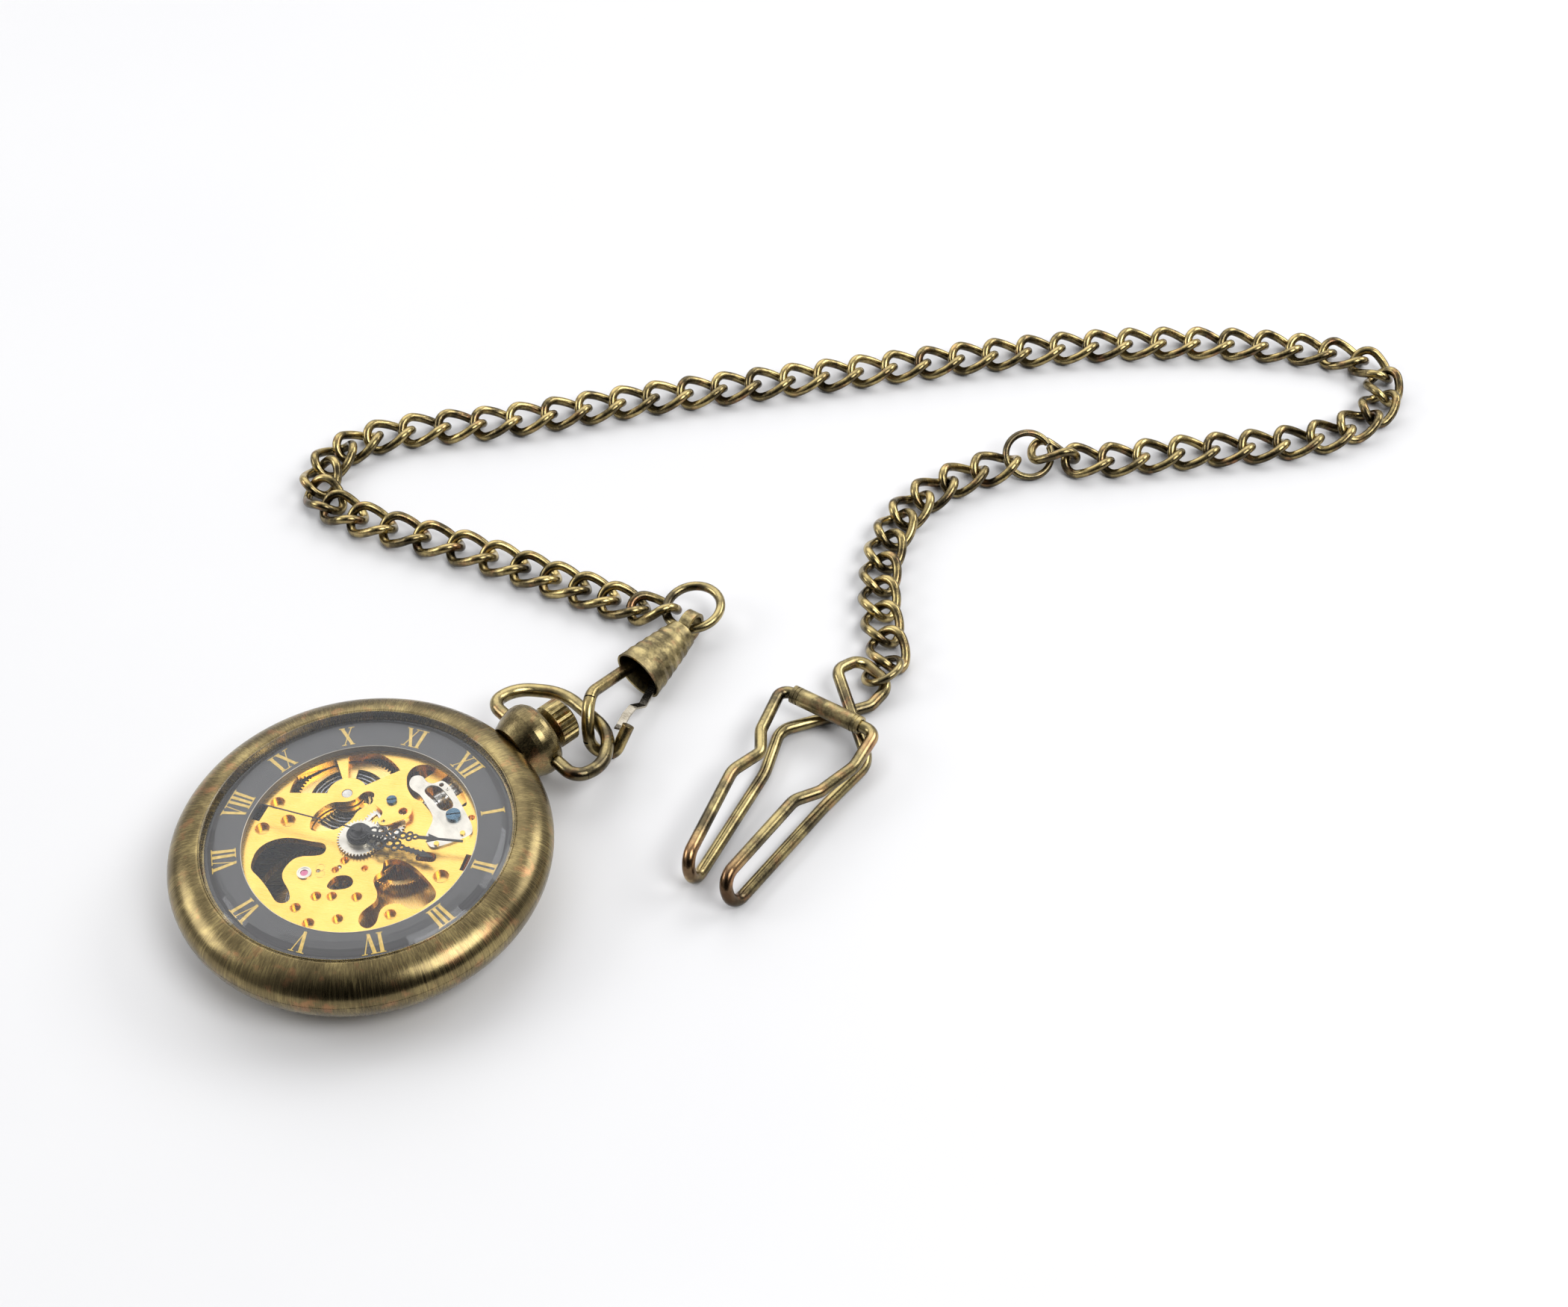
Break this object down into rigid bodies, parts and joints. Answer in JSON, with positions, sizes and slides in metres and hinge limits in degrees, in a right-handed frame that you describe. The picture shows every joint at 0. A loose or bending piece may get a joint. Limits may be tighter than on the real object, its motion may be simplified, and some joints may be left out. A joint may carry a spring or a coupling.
{
  "type": "pocket watch",
  "caption": "Open-face skeleton pocket watch with swinging bow, knurled winding crown, sprung hook clasp, curb chain in a U on the table, and a bent-wire pocket clip.",
  "frame": {"origin": "centre of the case back, on the surface the watch lies on", "axes": "+Z out through the crystal, +Y from the dial centre towards 12 o'clock and the crown, +X towards 3 o'clock"},
  "size_m": [0.103, 0.1918, 0.0112],
  "materials": {
    "antique_brass": "aged, brushed",
    "antique_brass_chain": "aged, worn highlights",
    "crystal": "polished",
    "dial_grey": "satin",
    "grey_ring": "matte",
    "gilt": "gilt, satin",
    "wheel_brass": "polished",
    "steel": "polished",
    "spring_steel": "polished",
    "blued_steel": "blued",
    "black_hands": "gloss",
    "ruby": "polished"
  },
  "bodies": {
    "case": {"case_band": "antique_brass", "front_bezel": "antique_brass", "front_crystal": "crystal", "back_cover": "antique_brass", "pendant": "antique_brass", "movement_ring": "grey_ring", "dial_ring": "dial_grey", "main_plate": "gilt", "barrel_bridge": "gilt", "train_bridge": "gilt", "balance_cock": "gilt", "shock_setting": "gilt", "jewels": "ruby", "setting_lever_spring": "steel", "minute_wheel_cock": "gilt", "blued_screws": "blued_steel", "movement_screws": "steel", "hairspring": "spring_steel"},
    "bow": {"bow": "antique_brass"},
    "stem": {"winding_stem": "steel"},
    "crown": {"crown": "antique_brass"},
    "winding_pinion": {"winding_pinion": "steel"},
    "clutch": {"clutch_wheel": "steel"},
    "crown_wheel": {"crown_wheel": "steel"},
    "ratchet": {"ratchet_wheel": "steel", "barrel_arbor": "steel"},
    "click": {"click": "steel"},
    "barrel": {"barrel": "wheel_brass", "mainspring": "spring_steel"},
    "centre_wheel": {"centre_wheel": "wheel_brass"},
    "third_wheel": {"third_wheel": "wheel_brass"},
    "fourth_wheel": {"fourth_wheel": "wheel_brass", "second_hand": "black_hands"},
    "escape_wheel": {"escape_wheel": "wheel_brass"},
    "pallet_fork": {"pallet_fork": "steel"},
    "balance": {"balance_wheel": "wheel_brass"},
    "minute_wheel": {"minute_wheel": "wheel_brass"},
    "minute_hand": {"cannon_pinion": "steel", "minute_hand": "black_hands"},
    "hour_hand": {"hour_wheel": "wheel_brass", "hour_hand": "black_hands"},
    "clasp": {"clasp_hook": "antique_brass_chain", "clasp_sleeve": "antique_brass_chain", "clasp_strap": "antique_brass_chain"},
    "gate": {"clasp_gate": "steel"},
    "clasp_ring": {"clasp_ring": "antique_brass_chain"},
    "chain_a1": {"chain_a1": "antique_brass_chain"},
    "chain_a2": {"chain_a2": "antique_brass_chain"},
    "chain_a3": {"chain_a3": "antique_brass_chain"},
    "chain_a4": {"chain_a4": "antique_brass_chain"},
    "chain_a5": {"chain_a5": "antique_brass_chain"},
    "chain_a6": {"chain_a6": "antique_brass_chain"},
    "chain_a7": {"chain_a7": "antique_brass_chain"},
    "connecting_link": {"connecting_link": "antique_brass_chain"},
    "split_ring": {"split_ring": "antique_brass_chain"},
    "chain_b1": {"chain_b1": "antique_brass_chain"},
    "chain_b2": {"chain_b2": "antique_brass_chain"},
    "end_ring": {"end_ring": "antique_brass_chain"},
    "clip": {"clip_wire": "antique_brass_chain"},
    "clip_sleeve": {"clip_sleeve": "antique_brass_chain"}
  },
  "joints": [
    {"name": "crown_pull", "type": "slide", "parent": "case", "child": "stem", "axis": [0, 1, 0], "range_m": [0, 0.0005]},
    {"name": "crown_spin", "type": "hinge", "parent": "stem", "child": "crown", "pos_m": [0, 0.0294, 0.0054], "axis": [0, 1, 0], "continuous": true},
    {"name": "winding_pinion_spin", "type": "hinge", "parent": "case", "child": "winding_pinion", "pos_m": [0, 0.0125, 0.0054], "axis": [0, 1, 0], "continuous": true},
    {"name": "clutch_spin", "type": "hinge", "parent": "case", "child": "clutch", "pos_m": [0, 0.0105, 0.0054], "axis": [0, 1, 0], "continuous": true},
    {"name": "crown_wheel_spin", "type": "hinge", "parent": "case", "child": "crown_wheel", "pos_m": [-0.00228, 0.0099, 0.0029], "axis": [0, 0, 1], "continuous": true},
    {"name": "ratchet_spin", "type": "hinge", "parent": "case", "child": "ratchet", "pos_m": [-0.007, 0.00295, 0.0055], "axis": [0, 0, 1], "continuous": true},
    {"name": "click_lift", "type": "hinge", "parent": "case", "child": "click", "pos_m": [-0.01276, 0.00027, 0.0029], "axis": [0, 0, 1], "range_deg": [0, 12], "stiffness_Nm_per_rad": 0.0001},
    {"name": "minute_spin", "type": "hinge", "parent": "case", "child": "minute_hand", "pos_m": [0, 0, 0.0093], "axis": [0, 0, 1], "continuous": true},
    {"name": "hour_spin", "type": "hinge", "parent": "case", "child": "hour_hand", "pos_m": [0, 0, 0.0088], "axis": [0, 0, 1], "continuous": true},
    {"name": "minute_wheel_spin", "type": "hinge", "parent": "case", "child": "minute_wheel", "pos_m": [0.00009, 0.0033, 0.0078], "axis": [0, 0, 1], "continuous": true},
    {"name": "centre_wheel_spin", "type": "hinge", "parent": "case", "child": "centre_wheel", "pos_m": [-0.0006, 0.00585, 0.005], "axis": [0, 0, 1], "continuous": true},
    {"name": "barrel_spin", "type": "hinge", "parent": "case", "child": "barrel", "pos_m": [-0.007, 0.00295, 0.0055], "axis": [0, 0, 1], "continuous": true},
    {"name": "third_wheel_spin", "type": "hinge", "parent": "case", "child": "third_wheel", "pos_m": [0.00366, 0.00262, 0.005], "axis": [0, 0, 1], "continuous": true},
    {"name": "seconds_spin", "type": "hinge", "parent": "case", "child": "fourth_wheel", "pos_m": [0, 0, 0.005], "axis": [0, 0, 1], "continuous": true},
    {"name": "escape_spin", "type": "hinge", "parent": "case", "child": "escape_wheel", "pos_m": [0.00151, -0.00413, 0.005], "axis": [0, 0, 1], "continuous": true},
    {"name": "pallet_rock", "type": "hinge", "parent": "case", "child": "pallet_fork", "pos_m": [0.00026, -0.00625, 0.0054], "axis": [0, 0, 1], "range_deg": [-5, 5]},
    {"name": "balance_swing", "type": "hinge", "parent": "case", "child": "balance", "pos_m": [-0.00055, -0.00763, 0.0034], "axis": [0, 0, 1], "range_deg": [-270, 270], "stiffness_Nm_per_rad": 0.000001},
    {"name": "bow_swing", "type": "hinge", "parent": "case", "child": "bow", "pos_m": [0, 0.0256, 0.0053], "axis": [1, 0, 0], "range_deg": [-40, 70]},
    {"name": "clasp_swing", "type": "hinge", "parent": "bow", "child": "clasp", "pos_m": [0.0014, 0.0341, 0.0038], "axis": [1, 0, 0], "range_deg": [-3, 18]},
    {"name": "gate_open", "type": "hinge", "parent": "clasp", "child": "gate", "pos_m": [-0.0006, 0.0489, 0.0022], "axis": [-0.5787, -0.264, -0.7716], "range_deg": [0, 8], "stiffness_Nm_per_rad": 0.02},
    {"name": "clasp_ring_swing", "type": "hinge", "parent": "clasp", "child": "clasp_ring", "pos_m": [-0.00286, 0.05405, 0.003], "axis": [0.7715, 0.6362, 0], "range_deg": [-5, 15]},
    {"name": "chain_a1_turn", "type": "hinge", "parent": "clasp_ring", "child": "chain_a1", "pos_m": [-0.0076, 0.0544, 0.0026], "axis": [0, 0, -1], "range_deg": [-5, 5]},
    {"name": "chain_a2_turn", "type": "hinge", "parent": "chain_a1", "child": "chain_a2", "pos_m": [-0.05144, 0.03513, 0.00164], "axis": [0, 0, 1], "range_deg": [-10, 12]},
    {"name": "chain_a3_turn", "type": "hinge", "parent": "chain_a2", "child": "chain_a3", "pos_m": [-0.06435, 0.0414, 0.00164], "axis": [0, 0, -1], "range_deg": [-12, 10]},
    {"name": "chain_a4_turn", "type": "hinge", "parent": "chain_a3", "child": "chain_a4", "pos_m": [-0.04301, 0.0819, 0.00164], "axis": [0, 0, 1], "range_deg": [-5, 12]},
    {"name": "chain_a5_turn", "type": "hinge", "parent": "chain_a4", "child": "chain_a5", "pos_m": [-0.01235, 0.13048, 0.00164], "axis": [0, 0, -1], "range_deg": [-12, 6]},
    {"name": "chain_a6_turn", "type": "hinge", "parent": "chain_a5", "child": "chain_a6", "pos_m": [0.01933, 0.16376, 0.00164], "axis": [0, 0, 1], "range_deg": [-3, 12]},
    {"name": "chain_a7_turn", "type": "hinge", "parent": "chain_a6", "child": "chain_a7", "pos_m": [0.0309, 0.1622, 0.00164], "axis": [0, 0, -1], "range_deg": [-12, 5]},
    {"name": "connecting_link_turn", "type": "hinge", "parent": "chain_a7", "child": "connecting_link", "pos_m": [0.0087, 0.1174, 0.0019], "axis": [0, 0, 1], "range_deg": [-5, 5]},
    {"name": "split_ring_turn", "type": "hinge", "parent": "connecting_link", "child": "split_ring", "pos_m": [0.0046, 0.1151, 0.0023], "axis": [0, 0, -1], "range_deg": [-5, 5]},
    {"name": "chain_b1_turn", "type": "hinge", "parent": "split_ring", "child": "chain_b1", "pos_m": [0.0037, 0.1106, 0.002], "axis": [0, 0, 1], "range_deg": [-5, 5]},
    {"name": "chain_b2_turn", "type": "hinge", "parent": "chain_b1", "child": "chain_b2", "pos_m": [0.00242, 0.08685, 0.00164], "axis": [0, 0, -1], "range_deg": [-12, 9]},
    {"name": "end_ring_turn", "type": "hinge", "parent": "chain_b2", "child": "end_ring", "pos_m": [0.0199, 0.0698, 0.0019], "axis": [0, 0, 1], "range_deg": [-5, 5]},
    {"name": "clip_turn", "type": "hinge", "parent": "end_ring", "child": "clip", "pos_m": [0.0199, 0.0667, 0.0019], "axis": [0, 0, -1], "range_deg": [-6, 4]},
    {"name": "clip_sleeve_roll", "type": "hinge", "parent": "clip", "child": "clip_sleeve", "pos_m": [0.0206, 0.0568, 0.00375], "axis": [0.9691, 0.2468, 0], "continuous": true}
  ],
  "couplings": [
    {"joint": "winding_pinion_spin", "follows": "crown_spin", "ratio": 1},
    {"joint": "clutch_spin", "follows": "crown_spin", "ratio": 1},
    {"joint": "crown_wheel_spin", "follows": "crown_spin", "ratio": -0.42105},
    {"joint": "ratchet_spin", "follows": "crown_spin", "ratio": 0.34783},
    {"joint": "hour_spin", "follows": "minute_spin", "ratio": 0.083333},
    {"joint": "minute_wheel_spin", "follows": "minute_spin", "ratio": -0.33333},
    {"joint": "centre_wheel_spin", "follows": "minute_spin", "ratio": 1},
    {"joint": "barrel_spin", "follows": "minute_spin", "ratio": -0.125},
    {"joint": "third_wheel_spin", "follows": "minute_spin", "ratio": -8},
    {"joint": "seconds_spin", "follows": "minute_spin", "ratio": 60},
    {"joint": "escape_spin", "follows": "minute_spin", "ratio": -600}
  ]
}
